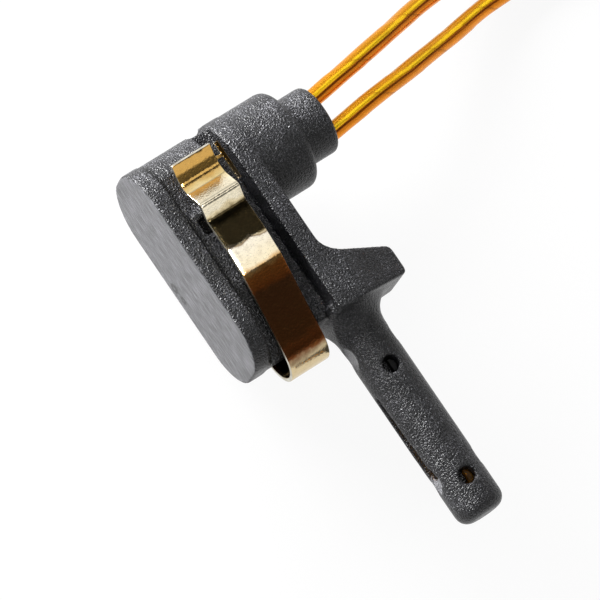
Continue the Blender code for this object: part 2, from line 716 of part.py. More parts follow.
def make_terminal(name, side, material):
    """A crimp barrel round the wire's end and a slimmer socket ahead of it."""
    crimp_bore = WIRE_RADIUS + WIRE_GAP
    crimp_end = TERMINAL_START + CRIMP_LENGTH
    end = TERMINAL_START + TERMINAL_LENGTH
    profile = [
        (0, end - SOCKET_DEPTH),
        (SOCKET_BORE, end - SOCKET_DEPTH),
        (SOCKET_BORE, end),
        (SOCKET_RADIUS, end),
        (SOCKET_RADIUS, crimp_end + TERMINAL_SHOULDER),
        (CRIMP_RADIUS, crimp_end),
        (CRIMP_RADIUS, TERMINAL_START),
        (crimp_bore, TERMINAL_START),
        (crimp_bore, crimp_end - SEAT_GAP),
        (0, crimp_end - SEAT_GAP),
    ]
    centre = (0, PLUG_SIDE + side * PLUG_PITCH / 2, PLUG_LEVEL)
    finish(turned(name, profile, centre, "X", DRILL_STEPS), name, material)


def build():
    plastic = new_material("Glass-filled plastic", (0.03, 0.031, 0.034), 0.5)
    steel = new_material("Yellow-passivated spring steel", (0.75, 0.56, 0.25), 0.2, 1.0)
    amber = new_material("Amber wire insulation", (0.78, 0.27, 0.01), 0.3)
    rubber = new_material("Seal rubber", (0.05, 0.08, 0.12), 0.6)
    tin = new_material("Tinned bronze", (0.6, 0.58, 0.54), 0.3, 1.0)
    lock_plastic = new_material("Lock plastic", (0.35, 0.35, 0.33), 0.45)
    make_body(plastic)
    make_clip(steel)
    finish(tube("wire loop", loop_route(-SEAT_GAP / 2), LOOP_RADIUS, 2), "sense_loop", amber)
    make_plug(plastic)
    make_nose_seal(rubber)
    finish(lock_block("lock", 0), "terminal_lock", lock_plastic)
    for place, side, route in (("upper", 1, UPPER_ROUTE), ("lower", -1, LOWER_ROUTE)):
        make_lead("lead_" + place, side, route, amber)
        make_wire_seal("wire_seal_" + place, side, rubber)
        make_terminal("terminal_" + place, side, tin)


# How far the clip's legs reach from the mid-plane, which is where the ground is, and the plug's level there
CLIP_REACH = max(rise for along, rise in clip_leg()[0]) + CLIP_SHEET / 2
PLUG_LEVEL = PLUG_HEIGHT / 2 - CLIP_REACH

clear_scene()
PARTS = new_collection("brake_pad_wear_sensor")
TOOLS = new_collection("cutters")
TOOLS.hide_render = True
MEASURING_POINT = bpy.data.objects.new("measuring_point", None)
PARTS.objects.link(MEASURING_POINT)
BODY_TOP = max(PLATE_TOP, WALL_WIDTH / 2)
MEASURING_POINT.location = (-BOSS_END / 2, (PIN_TIP - BODY_TOP) / 2, CLIP_REACH)
build()
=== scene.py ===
"""A brake pad wear sensor as it lies on a white table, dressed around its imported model.

The wrapped leads, the moulded body and the bent clip are modelled here over their solids. The inner wire and the
plug, which lies past the photo's edge, keep their solids and get finishes of their own.
"""

import math

import bpy
import numpy as np
from mathutils import Matrix, Vector


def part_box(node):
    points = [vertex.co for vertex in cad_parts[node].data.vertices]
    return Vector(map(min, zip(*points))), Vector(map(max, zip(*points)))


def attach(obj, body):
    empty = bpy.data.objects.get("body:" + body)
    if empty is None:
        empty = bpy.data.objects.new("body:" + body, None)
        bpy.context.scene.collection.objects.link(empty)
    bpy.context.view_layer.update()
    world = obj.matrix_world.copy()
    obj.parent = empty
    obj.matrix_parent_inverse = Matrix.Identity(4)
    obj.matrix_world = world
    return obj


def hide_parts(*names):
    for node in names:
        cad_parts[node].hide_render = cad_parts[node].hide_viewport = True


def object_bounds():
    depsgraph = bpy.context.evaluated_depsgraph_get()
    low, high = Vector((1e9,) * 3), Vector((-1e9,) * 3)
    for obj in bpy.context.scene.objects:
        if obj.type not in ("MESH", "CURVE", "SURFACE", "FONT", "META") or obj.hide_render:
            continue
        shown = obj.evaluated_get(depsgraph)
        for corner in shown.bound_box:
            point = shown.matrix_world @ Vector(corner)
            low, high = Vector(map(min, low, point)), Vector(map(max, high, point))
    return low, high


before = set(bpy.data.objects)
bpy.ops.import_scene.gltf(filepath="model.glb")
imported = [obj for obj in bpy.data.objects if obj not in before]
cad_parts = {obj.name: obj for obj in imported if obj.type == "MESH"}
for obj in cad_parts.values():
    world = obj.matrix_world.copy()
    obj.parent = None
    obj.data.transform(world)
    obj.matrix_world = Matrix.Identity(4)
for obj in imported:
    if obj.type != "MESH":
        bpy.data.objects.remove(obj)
cad_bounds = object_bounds()

# The camera looks down on the part from the plate's side and from a little beyond the pin's tip, turned so that
# the pin points to the lower right. It stands far off with a long lens, as the photo's parallel edges show.
# Sizes are in millimetres from the plate's outer face, the cable boss's axis and the mid-plane.
MM = 0.001
WALL_RADIUS = 5.1
VIEW_WIDTH = 55.66
VIEW_CENTRE = (8.18, -13.58, 0.0)
CAMERA_DISTANCE = 700.0
CAMERA_LEAN = -18.0
CAMERA_TILT = 7.0
CAMERA_TURN = -34.3
body_low, body_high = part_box("sensor_body")
ORIGIN = Vector((body_low[0], body_high[1] - WALL_RADIUS * MM, (body_low[2] + body_high[2]) / 2))


def placed(x, y, z):
    """A place given in millimetres from the sensor's own measuring point, as the frame's metres."""
    return ORIGIN + Vector((x, y, z)) * MM


camera = bpy.data.objects.new("camera", bpy.data.cameras.new("camera"))
bpy.context.scene.collection.objects.link(camera)
bpy.context.scene.camera = camera
lean = Matrix.Rotation(math.radians(CAMERA_LEAN), 4, "Y")
tilt = Matrix.Rotation(math.radians(CAMERA_TILT), 4, "X")
turn = Matrix.Rotation(math.radians(CAMERA_TURN), 4, "Z")
back = Matrix.Translation((0, 0, CAMERA_DISTANCE * MM))
camera.matrix_world = Matrix.Translation(placed(*VIEW_CENTRE)) @ lean @ tilt @ turn @ back
camera.data.lens = camera.data.sensor_width * CAMERA_DISTANCE / VIEW_WIDTH
camera.data.clip_end = 10.0

# The two leads are copper wires under a wrapped, glossy amber film. They run straight out of the boss's holes, sag
# to the table and go up into the plug. The film's edge winds round each wire as a low step, once every 8 mm.
WIRE_RADIUS = 0.92
LEAD_START = 19.9
LEAD_SIDE = 1.8
LEAD_STEP = 0.3
LEAD_FACETS = 36
PLUG_REAR = 76.0
LEAD_END = 84.0
PLUG_HALF_HEIGHT = 4.6
GROUND = -ORIGIN.z / MM
WRAP_PITCH = 8.0
WRAP_STEP = 0.06
WRAP_EDGE = 0.08
WRAP_TAPER = 0.2
SQUASH = 0.018
SQUASH_TURN = 0.9
SQUASH_START = 4.0
SQUASH_SHIFT = 9.0
RIM_ANGLE = 50.0
# Each lead's node, its hole's side, its place in the plug, where its seam starts, and its route above the table,
# whose points are those of the model's own lead.
leads = (
    (
        "lead_upper",
        LEAD_SIDE,
        1.1,
        0.1,
        (
            (24.5, 2.55, 7.1),
            (29.5, 3.46, 5.9),
            (35.5, 4.66, 3.8),
            (41.5, 5.3, 1.9),
            (47.0, 5.2, 1.1),
            (53.5, 4.3, 1.0),
            (60.0, 2.9, 1.15),
            (66.0, 1.8, 2.3),
            (71.3, 1.2, 3.7),
        ),
    ),
    (
        "lead_lower",
        -LEAD_SIDE,
        -4.1,
        0.45,
        (
            (24.5, -1.16, 7.1),
            (30.0, -0.43, 5.9),
            (36.0, 0.52, 3.8),
            (42.0, 1.55, 1.9),
            (47.5, 1.75, 1.1),
            (54.0, 0.9, 1.0),
            (60.5, -0.9, 1.15),
            (66.3, -2.9, 2.3),
            (71.5, -3.9, 3.7),
        ),
    ),
)


def smooth_route(points, spacing):
    """A smooth curve through all points: each stretch is a cubic in t, set by the four points nearest to it."""
    places = np.array(points, dtype=float)
    places = np.vstack([2 * places[0] - places[1], places, 2 * places[-1] - places[-2]])
    stretches = [places[1:2]]
    for before, start, end, after in zip(places, places[1:], places[2:], places[3:]):
        count = max(1, round(np.linalg.norm(end - start) / spacing))
        t = (np.arange(count) + 1)[:, None] / count
        bend = (2 * before - 5 * start + 4 * end - after) * t**2 + (3 * start - before - 3 * end + after) * t**3
        stretches.append((2 * start + (end - before) * t + bend) / 2)
    return np.vstack(stretches)


def new_piece(name, points, faces, uv_name, uvs):
    """A linked object whose mesh has these points in millimetres, faces, and a UV pair for each face corner."""
    mesh = bpy.data.meshes.new(name)
    mesh.from_pydata((points * MM + np.array(ORIGIN)).tolist(), [], faces)
    mesh.uv_layers.new(name=uv_name).data.foreach_set("uv", uvs.astype(np.float32).ravel())
    mesh.shade_smooth()
    piece = bpy.data.objects.new(name, mesh)
    bpy.context.scene.collection.objects.link(piece)
    return piece


def wrapped_tube(name, path, phase):
    """A tube round a path, on a grid of turn round the wire by length along it, and closed at both ends.

    The radius is one step less at the film's seam, a helix where turn + length / pitch is whole, and thickens from
    there. A wave, the sine of twice the turn + the length, flattens it a little. Its UV is the turn and the length.
    """
    along = np.concatenate([[0], np.cumsum(np.linalg.norm(np.diff(path, axis=0), axis=1))])
    tangents = np.gradient(path, axis=0)
    tangents /= np.linalg.norm(tangents, axis=1)[:, None]
    side = np.cross(tangents, (0.0, 0.0, 1.0))
    side /= np.linalg.norm(side, axis=1)[:, None]
    top = np.cross(side, tangents)
    turns = np.arange(LEAD_FACETS + 1) / LEAD_FACETS
    wrap = (turns[None, :] + along[:, None] / WRAP_PITCH + phase) % 1.0
    seam = np.clip((1 - wrap) / WRAP_EDGE, 0, 1) * (WRAP_TAPER + (1 - WRAP_TAPER) * wrap)
    squash = SQUASH * np.sin(4 * np.pi * turns[None, :] + along[:, None] * SQUASH_TURN + SQUASH_SHIFT * phase)
    squash *= WIRE_RADIUS * np.minimum(1, along / SQUASH_START)[:, None]
    radii = np.minimum(WIRE_RADIUS - WRAP_STEP + WRAP_STEP * seam + squash, WIRE_RADIUS)
    across = np.cos(2 * np.pi * turns)[None, :, None] * side[:, None]
    up = np.sin(2 * np.pi * turns)[None, :, None] * top[:, None]
    rings = path[:, None] + radii[:, :, None] * (across + up)
    points = np.vstack([rings[:, :-1].reshape(-1, 3), path[:1], path[-1:]])
    i, j = (axis.ravel() for axis in np.meshgrid(np.arange(len(path) - 1), np.arange(LEAD_FACETS), indexing="ij"))
    here, after = i * LEAD_FACETS, (i + 1) * LEAD_FACETS
    k = (j + 1) % LEAD_FACETS
    walls = np.stack([here + j, here + k, after + k, after + j], axis=1)
    turn_uv = np.stack([turns[j], turns[j + 1], turns[j + 1], turns[j]], axis=1)
    length_uv = np.stack([along[i], along[i], along[i + 1], along[i + 1]], axis=1)
    ring = np.arange(LEAD_FACETS)
    ahead = (ring + 1) % LEAD_FACETS
    last_ring = (len(path) - 1) * LEAD_FACETS
    first_cap = np.stack([np.full(LEAD_FACETS, len(points) - 2), ahead, ring], axis=1)
    last_cap = np.stack([np.full(LEAD_FACETS, len(points) - 1), last_ring + ring, last_ring + ahead], axis=1)
    wall_uvs = np.stack([turn_uv, length_uv], axis=2).reshape(-1, 2)
    cap_corners = 3 * LEAD_FACETS
    uvs = np.vstack([wall_uvs, np.zeros((cap_corners, 2)), np.tile([0.0, along[-1]], (cap_corners, 1))])
    lead = new_piece(name, points, walls.tolist() + first_cap.tolist() + last_cap.tolist(), "wrap", uvs)
    lead.data.set_sharp_from_angle(angle=math.radians(RIM_ANGLE))
    return lead


def linear(hex_colour):
    """An sRGB colour such as 808080 as the linear values that shaders take."""
    parts = [int(hex_colour[i : i + 2], 16) / 255 for i in (0, 2, 4)]
    return (*[c / 12.92 if c <= 0.04045 else ((c + 0.055) / 1.055) ** 2.4 for c in parts], 1.0)


def add_node(tree, kind, inputs=None, stops=(), **settings):
    """A shader node with its settings, its inputs and, for a colour ramp, its stops.

    An input is a value, another node's output, or another node, which then gives its first output in use. A stop
    is a place and a colour, which is an sRGB hex value or a plain level of grey.
    """
    node = tree.nodes.new("ShaderNode" + kind)
    for name, value in settings.items():
        setattr(node, name, value)
    for name, value in (inputs or {}).items():
        if isinstance(value, bpy.types.Node):
            value = next(output for output in value.outputs if output.enabled)
        if isinstance(value, bpy.types.NodeSocket):
            tree.links.new(value, node.inputs[name])
        else:
            node.inputs[name].default_value = value
    elements = node.color_ramp.elements if stops else ()
    while len(elements) < len(stops):
        elements.new(0.5)
    for element, (place, colour) in zip(elements, stops):
        element.position = place
        element.color = linear(colour) if isinstance(colour, str) else (colour, colour, colour, 1.0)
    return node


def new_material(name):
    """A material, its node tree, and the object's own coordinates, which are all that the tree holds as yet."""
    material = bpy.data.materials.new(name)
    material.use_nodes = True
    tree = material.node_tree
    tree.nodes.clear()
    return material, tree, add_node(tree, "TexCoord").outputs["Object"]


# Polyimide film: clear amber over the copper strands. Its colour round each wire is partly painted light: a yellow
# painted highlight near the top, a thin brown painted reflection line beside it, and one side painted lighter than
# the other as the light falls. The seam between its turns is a little darker, and handling has left it blotched and
# creased.
DRIFT_SIZE = 6.0
BLOTCH_SIZE = 2.2
CREASE_SIZE = 1.6
CREASE_DEPTH = 0.06
DRIFT = 0.012
# Tones round the wire as painted light: a lit side, a brown painted reflection line, a painted highlight, a shaded
# side.
film_tones_with_painted_light = [
    (0.0, "FFA012"),
    (0.13, "FF980E"),
    (0.17, "E8800A"),
    (0.195, "9C4A00"),
    (0.215, "A65400"),
    (0.235, "F0BC10"),
    (0.28, "E8BE1A"),
    (0.31, "AE7408"),
    (0.42, "9E6808"),
    (0.6, "C07C0A"),
]
amber, tree, object_place = new_material("Polyimide film over copper wire")
wrap_place = add_node(tree, "SeparateXYZ", {"Vector": add_node(tree, "UVMap", uv_map="wrap")}).outputs
drift = add_node(tree, "TexNoise", {"Vector": object_place, "Scale": 1 / (DRIFT_SIZE * MM), "Detail": 1.0})
drift_range = {"Value": drift, "From Min": 0.3, "From Max": 0.7, "To Min": -DRIFT, "To Max": DRIFT}
drift = add_node(tree, "MapRange", drift_range)
turned = add_node(tree, "Math", {0: wrap_place["X"], 1: drift}, operation="ADD")
tone = add_node(tree, "ValToRGB", {"Fac": turned}, film_tones_with_painted_light)
wraps_along = add_node(tree, "Math", {0: wrap_place["Y"], 1: WRAP_PITCH}, operation="DIVIDE")
in_wrap = add_node(tree, "Math", {0: wrap_place["X"], 1: wraps_along}, operation="ADD")
in_wrap = add_node(tree, "Math", {0: in_wrap}, operation="FRACT")
overlap = add_node(tree, "MapRange", {"Value": in_wrap, "From Min": 0.93, "From Max": 0.99, "To Max": 0.55})
tone = add_node(tree, "Mix", {"Factor": overlap, "A": tone, "B": linear("9A5A00")}, data_type="RGBA")
blotch = add_node(tree, "TexNoise", {"Vector": object_place, "Scale": 1 / (BLOTCH_SIZE * MM), "Detail": 3.0})
blotch = add_node(tree, "MapRange", {"Value": blotch, "From Min": 0.45, "From Max": 0.75, "To Max": 0.35})
tone = add_node(tree, "Mix", {"Factor": blotch, "A": tone, "B": linear("B87004")}, data_type="RGBA")
crease = add_node(tree, "TexNoise", {"Vector": object_place, "Scale": 1 / (CREASE_SIZE * MM), "Detail": 1.0})
creased = add_node(tree, "Bump", {"Strength": 0.2, "Distance": CREASE_DEPTH * MM, "Height": crease})
film = {"Base Color": tone, "Metallic": 0.7, "Roughness": 0.24, "Normal": creased}
add_node(tree, "OutputMaterial", {"Surface": add_node(tree, "BsdfPrincipled", film)})

plug_pieces = (
    "plug_housing",
    "terminal_lock",
    "nose_seal",
    "wire_seal_upper",
    "wire_seal_lower",
    "terminal_upper",
    "terminal_lower",
)
plug_level = PLUG_HALF_HEIGHT + GROUND
for node_name, side, plug_side, phase, route in leads:
    middle = [(x, y, up + GROUND) for x, y, up in route]
    at_plug = [(PLUG_REAR, plug_side, plug_level), (LEAD_END, plug_side, plug_level)]
    path = smooth_route([(LEAD_START, side, 0.0), *middle, *at_plug], LEAD_STEP)
    lead = wrapped_tube(node_name.replace("lead", "wrapped_lead"), path, phase)
    lead.data.materials.append(amber)
    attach(lead, "root")
    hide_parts(node_name)

# The wire inside the body is the same insulated wire without its outer wrap, laid in the mould before the plastic.
# It shows amber in the pin's slot near the tip. Further up, a skin of the black plastic lies over it.
AMBER_END = -27.5
SKIN_START = -26.0
ENAMEL_SIZE = 1.5
inner, tree, object_place = new_material("Amber enamel on the inner wire")
enamel = add_node(tree, "TexNoise", {"Vector": object_place, "Scale": 1 / (ENAMEL_SIZE * MM)})
enamel = add_node(tree, "ValToRGB", {"Fac": enamel}, [(0.3, "F09A10"), (0.7, "FFC030")])
down_pin = add_node(tree, "SeparateXYZ", {"Vector": object_place}).outputs["Y"]
skin_range = {"From Min": placed(0, AMBER_END, 0).y, "From Max": placed(0, SKIN_START, 0).y}
coated = add_node(tree, "MapRange", {"Value": down_pin, **skin_range})
tone = add_node(tree, "Mix", {"Factor": coated, "A": enamel, "B": linear("1A1A1C")}, data_type="RGBA")
wire = add_node(tree, "BsdfPrincipled", {"Base Color": tone, "Roughness": 0.55, "Specular IOR Level": 0.2})
add_node(tree, "OutputMaterial", {"Surface": wire})
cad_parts["sense_loop"].data.materials[0] = inner

# The body is one moulding of glass-filled nylon. Its skin is spark-eroded and shows fibre glints, its inner corners
# are filled and its edges eased as a mould leaves them, and the plate's outer face is drawn smoother.
VOXEL = 0.185
EASE_STEPS = 2
PLATE_STEP = 2.0
GATE_MARKS = ((-5.9, -4.15, 0.4), (-7.35, -3.9, 0.3))
RECESS_PLACES = ((-20.9, 0.0), (-34.7, 0.0))
RECESS_SIZE = 1.2
RECESS_FACE = 9.5
moulding = bpy.data.objects.new("moulded_body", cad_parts["sensor_body"].data.copy())
bpy.context.scene.collection.objects.link(moulding)
remesh = moulding.modifiers.new("remesh", "REMESH")
remesh.mode = "VOXEL"
remesh.voxel_size = VOXEL * MM
ease = moulding.modifiers.new("ease", "SMOOTH")
ease.factor = 0.5
ease.iterations = EASE_STEPS
eased = bpy.data.meshes.new_from_object(moulding.evaluated_get(bpy.context.evaluated_depsgraph_get()))
moulding.modifiers.clear()
moulding.data = eased
eased.name = "moulded_body"
eased.shade_smooth()

# Glass-filled nylon: near black, with pale specks in its colour that are partly fibre ends and partly painted glints.
# The real fibres are a hundredth of a millimetre thick and the eroded grain a twentieth, and both are drawn coarser
# here, or they would not show.
GRAIN_SIZE = 0.18
GRAIN_DEPTH = 0.19
FIBRE_SIZE = 0.1
PATCH_SIZE = 2.5
LINE_SIZE = 0.17
LINE_STRETCH = 0.1
LINE_DEPTH = 0.04
FACE_DEPTH = 0.12
FACE_FADE = 0.35
RING_WIDTH = 0.12
RING_FADE = 0.24
STEP_WIDTH = 0.15
STEP_FADE = 0.3
RECESS_FADE = 0.15
RECESS_SKIN = 0.1
plastic, tree, object_place = new_material("Glass-filled nylon")
grain = add_node(tree, "TexNoise", {"Vector": object_place, "Scale": 1 / (GRAIN_SIZE * MM), "Detail": 1.0})
fibre = add_node(tree, "TexVoronoi", {"Vector": object_place, "Scale": 1 / (FIBRE_SIZE * MM)}).outputs["Color"]
fibre = add_node(tree, "SeparateXYZ", {"Vector": fibre}).outputs["X"]
patches = add_node(tree, "TexNoise", {"Vector": object_place, "Scale": 1 / (PATCH_SIZE * MM)})
patch_range = {"Value": patches, "From Min": 0.3, "From Max": 0.7, "To Min": -0.12, "To Max": 0.12}
fibre = add_node(tree, "Math", {0: fibre, 1: add_node(tree, "MapRange", patch_range)}, operation="ADD")
# Pale specks: partly fibre ends, partly painted glints.
fibre_and_painted_glint_tones = [(0.0, "101011"), (0.6, "1E1E20"), (0.9, "323235"), (1.0, "545458")]
glint = add_node(tree, "ValToRGB", {"Fac": fibre}, fibre_and_painted_glint_tones)
# The plate's outer face is found by its place and by the way it looks. Fine lines of drawing run along it, and its
# paler grey is a painted sheen, the white table seen in its smooth face.
place = add_node(tree, "SeparateXYZ", {"Vector": object_place}).outputs
facing = add_node(tree, "SeparateXYZ", {"Vector": add_node(tree, "NewGeometry").outputs["Normal"]}).outputs
end_range = {"From Min": placed(FACE_FADE, 0, 0).x, "From Max": placed(FACE_DEPTH, 0, 0).x}
on_end = add_node(tree, "MapRange", {"Value": place["X"], **end_range})
looks_out = add_node(tree, "MapRange", {"Value": facing["X"], "From Min": -0.8, "From Max": -0.97})
plate_face = add_node(tree, "Math", {0: on_end, 1: looks_out}, operation="MULTIPLY")
drawn = add_node(tree, "Mapping", {"Vector": object_place, "Scale": (1.0, LINE_STRETCH, 1.0)})
line_look = {"Vector": drawn, "Scale": 1 / (LINE_SIZE * MM), "Detail": 3.0, "Roughness": 0.65}
lines = add_node(tree, "TexNoise", line_look)
# Painted sheen: the face's grey is paler than the rest of the body.
drawn_lines_and_painted_light = add_node(tree, "ValToRGB", {"Fac": lines}, [(0.38, "28282A"), (0.5, "4A4A4D"), (0.62, "68686C")])
# The gate's broken end and a second mark are two shallow pits in the plate's face, drawn only as dark rings of
# painted shade at their rims.
flat_place = add_node(tree, "Mapping", {"Vector": object_place, "Scale": (0.0, 1.0, 1.0)})
rings = []
for y, z, radius in GATE_MARKS:
    centre = (0.0, *placed(0.0, y, z).yz)
    away = add_node(tree, "VectorMath", {0: flat_place, 1: centre}, operation="DISTANCE")
    off_ring = add_node(tree, "Math", {0: away, 1: radius * MM}, operation="SUBTRACT")
    off_ring = add_node(tree, "Math", {0: off_ring}, operation="ABSOLUTE")
    ring_range = {"From Min": RING_FADE * MM, "From Max": RING_WIDTH * MM}
    rings.append(add_node(tree, "MapRange", {"Value": off_ring, **ring_range}))
pit_rims_painted_shade = add_node(tree, "Math", dict(enumerate(rings)), operation="MAXIMUM")
drawn_lines_and_painted_light = add_node(tree, "Mix", {"Factor": pit_rims_painted_shade, "A": drawn_lines_and_painted_light, "B": linear("0C0C0D")}, data_type="RGBA")
tone = add_node(tree, "Mix", {"Factor": plate_face, "A": glint, "B": drawn_lines_and_painted_light}, data_type="RGBA")
# Painted shade: a sharp, dark line along the mould's step behind the plate, where the plate's edge shades the neck.
off_step = add_node(tree, "Math", {0: place["X"], 1: placed(PLATE_STEP, 0, 0).x}, operation="SUBTRACT")
off_step = add_node(tree, "Math", {0: off_step}, operation="ABSOLUTE")
step_range = {"From Min": STEP_FADE * MM, "From Max": STEP_WIDTH * MM, "To Max": 0.9}
step_painted_shade = add_node(tree, "MapRange", {"Value": off_step, **step_range})
tone = add_node(tree, "Mix", {"Factor": step_painted_shade, "A": tone, "B": linear("060607")}, data_type="RGBA")
# The two round recesses in the pin's side keep the smooth skin of the pins that held the wire in the mould. Their
# floors are painted paler grey, a painted sheen of that smooth skin.
side_range = {"From Min": placed(RECESS_FACE, 0, 0).x, "From Max": placed(RECESS_FACE - RECESS_SKIN, 0, 0).x}
on_side = add_node(tree, "MapRange", {"Value": place["X"], **side_range})
for y, z in RECESS_PLACES:
    centre = (0.0, *placed(0.0, y, z).yz)
    away = add_node(tree, "VectorMath", {0: flat_place, 1: centre}, operation="DISTANCE")
    recess_range = {"From Min": RECESS_SIZE * MM, "From Max": (RECESS_SIZE - RECESS_FADE) * MM}
    inside = add_node(tree, "MapRange", {"Value": away, **recess_range})
    recess_painted_sheen = add_node(tree, "Math", {0: inside, 1: on_side}, operation="MULTIPLY")
    tone = add_node(tree, "Mix", {"Factor": recess_painted_sheen, "A": tone, "B": linear("78787C")}, data_type="RGBA")
rough_share = add_node(tree, "MapRange", {"Value": plate_face, "To Min": 1.0, "To Max": 0.1})
rough = add_node(tree, "Bump", {"Strength": rough_share, "Distance": GRAIN_DEPTH * MM, "Height": grain})
line_share = add_node(tree, "MapRange", {"Value": plate_face, "To Max": 0.5})
line_relief = {"Strength": line_share, "Distance": LINE_DEPTH * MM, "Height": lines, "Normal": rough}
lined = add_node(tree, "Bump", line_relief)
skin = {"Base Color": tone, "Roughness": 0.3, "Specular IOR Level": 0.35, "Normal": lined}
add_node(tree, "OutputMaterial", {"Surface": add_node(tree, "BsdfPrincipled", skin)})
eased.materials.clear()
eased.materials.append(plastic)
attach(moulding, "root")
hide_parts("sensor_body")

# The spring clip is one strip of thin spring steel, bent to a hairpin that is pushed over the neck and then passivated
# to a bright yellow. Each leg dips to a seat, rises to a crest and runs straight to the bend, and has a narrow finger.
CLIP_START = 3.05
CLIP_SIDE = 7.35
FINGER_START = 8.15
FINGER_SIDE = 8.6
FINGER_END = -1.6
FINGER_LEVEL = 5.0
WEB_PLACE = (0.95, 1.2)
CLIP_SHEET = 0.4
CLIP_BEND = -16.65
CLIP_BEND_RADIUS = 2.7
CREASE = 0.45
EDGE_ROUND = 0.07
EDGE_ANGLE = 60.0
SHEET_STEP = 0.12
STRIP_COLUMNS = 9
FINGER_COLUMNS = 3
BEND_POINTS = 40
CREASE_POINTS = 12
leg_corners = (
    (2.45, 6.45),
    (1.5, 5.8),
    (0.5, 5.38),
    (-0.6, 5.6),
    (-2.25, 7.0),
    (-3.6, 5.98),
    (-6.95, 6.05),
    (-9.6, 5.68),
)
crease_radii = (3 * CREASE, 3 * CREASE, CREASE, 0.6 * CREASE, CREASE, 0.7 * CREASE, 1.4 * CREASE)


def hairpin():
    """Half the strip's centre line as (y, z): corners rounded by arcs, then an arc round the bend to the mid-plane."""
    centre = np.array((CLIP_BEND, 0.0))
    heel = np.array(leg_corners[-1]) - centre
    lean = math.atan2(heel[1], heel[0]) + math.acos(CLIP_BEND_RADIUS / np.linalg.norm(heel))
    turns = np.linspace(lean, math.pi, BEND_POINTS)
    bend = centre + CLIP_BEND_RADIUS * np.stack([np.cos(turns), np.sin(turns)], axis=1)
    corners = np.vstack([leg_corners, bend[0]])
    runs = [corners[:1]]
    for before, here, after, radius in zip(corners, corners[1:], corners[2:], crease_radii):
        back = (before - here) / np.linalg.norm(before - here)
        ahead = (after - here) / np.linalg.norm(after - here)
        half_angle = math.acos(np.dot(back, ahead)) / 2
        middle = here + (back + ahead) / np.linalg.norm(back + ahead) * radius / math.sin(half_angle)
        first = here + back * radius / math.tan(half_angle) - middle
        last = here + ahead * radius / math.tan(half_angle) - middle
        start = math.atan2(first[1], first[0])
        sweep = (math.atan2(last[1], last[0]) - start + math.pi) % (2 * math.pi) - math.pi
        angles = start + sweep * np.linspace(0, 1, CREASE_POINTS)
        runs.append(middle + radius * np.stack([np.cos(angles), np.sin(angles)], axis=1))
    return np.vstack([*runs, bend])


def evenly(line, step):
    """The line's points at even steps along its length, and how far along each lies."""
    along = np.concatenate([[0], np.cumsum(np.linalg.norm(np.diff(line, axis=0), axis=1))])
    places = np.linspace(0, along[-1], round(along[-1] / step) + 1)
    return np.stack([np.interp(places, along, line[:, k]) for k in (0, 1)], axis=1), places


# The strip is a grid of its width by the length along the hairpin. The cells between the strip and its fingers are
# left out, but for a small web, and the fingers lie flat at one level.
half_line = hairpin()
whole_line = np.vstack([half_line[:-1], (half_line * (1, -1))[::-1]])
line, along = evenly(whole_line, SHEET_STEP)
strip_columns = np.linspace(CLIP_START, CLIP_SIDE, STRIP_COLUMNS)
columns = np.concatenate([strip_columns, np.linspace(FINGER_START, FINGER_SIDE, FINGER_COLUMNS)])
row, column = np.meshgrid(np.arange(len(line) - 1), np.arange(len(columns) - 1), indexing="ij")
across = (columns[column] + columns[column + 1]) / 2
reach = (line[row, 0] + line[row + 1, 0]) / 2
on_strip = across < CLIP_SIDE
on_finger = (across > FINGER_START) & (reach > FINGER_END)
on_web = (reach > WEB_PLACE[0]) & (reach < WEB_PLACE[1])
keep = on_strip | on_finger | on_web
row, column = row[keep], column[keep]
width = len(columns)
corner_rows = np.stack([row, row + 1, row + 1, row], axis=1)
corner_columns = np.stack([column, column, column + 1, column + 1], axis=1)
used, faces = np.unique(corner_rows * width + corner_columns, return_inverse=True)
heights = line[used // width, 1]
levels = np.where(columns[used % width] > CLIP_SIDE, np.clip(heights, -FINGER_LEVEL, FINGER_LEVEL), heights)
strip_points = np.stack([columns[used % width], line[used // width, 0], levels], axis=1)
strip_uvs = np.stack([columns[corner_columns], along[corner_rows]], axis=2).reshape(-1, 2)
clip = new_piece("bent_clip", strip_points, faces.reshape(-1, 4).tolist(), "strip", strip_uvs)
thicken = clip.modifiers.new("sheet", "SOLIDIFY")
thicken.thickness = CLIP_SHEET * MM
thicken.offset = 0
thicken.material_offset_rim = 1
edge_round = clip.modifiers.new("edge round", "BEVEL")
edge_round.width = EDGE_ROUND * MM
edge_round.segments = 2
edge_round.limit_method = "ANGLE"
edge_round.angle_limit = math.radians(EDGE_ANGLE)

# Yellow passivation: a thin clear gold film over bright steel, which turns from gold to brown along the straight leg.
# Much of its colour along the leg is painted light: bright cream bands and dark bands are painted reflections, a thin
# painted highlight line crosses it, and its creases are painted darker as shade. It is a little stained, and has the
# fine grit of the bath. The finger is darkened with painted shade.
WANDER_SIZE = 1.6
STAIN_SIZE = 0.5
GRIT_SIZE = 0.2
GRIT_DEPTH = 0.035
WANDER = 0.012
# Tones along the leg from its tip to the bend: gold to brown, with painted reflections and painted shade.
leg_tones_with_painted_reflections = [
    (0.0, "1E1206"),
    (0.008, "E0B060"),
    (0.06, "DDAE5C"),
    (0.1, "E0B468"),
    (0.12, "F2D898"),
    (0.17, "FFF2D4"),
    (0.25, "FFF4D8"),
    (0.264, "F0DEB4"),
    (0.275, "7A6A48"),
    (0.29, "342E20"),
    (0.305, "342E20"),
    (0.33, "80704E"),
    (0.412, "80704E"),
    (0.416, "F4E4C0"),
    (0.421, "7A5C34"),
    (0.428, "FFF6E2"),
    (0.505, "FFF0CC"),
    (0.525, "DCA864"),
    (0.545, "B87034"),
    (0.6, "A05A2A"),
    (0.62, "70482C"),
    (0.82, "744828"),
    (0.845, "90522A"),
    (0.89, "6E3E20"),
    (0.915, "D8C49C"),
]
gold, tree, object_place = new_material("Yellow-passivated spring steel")
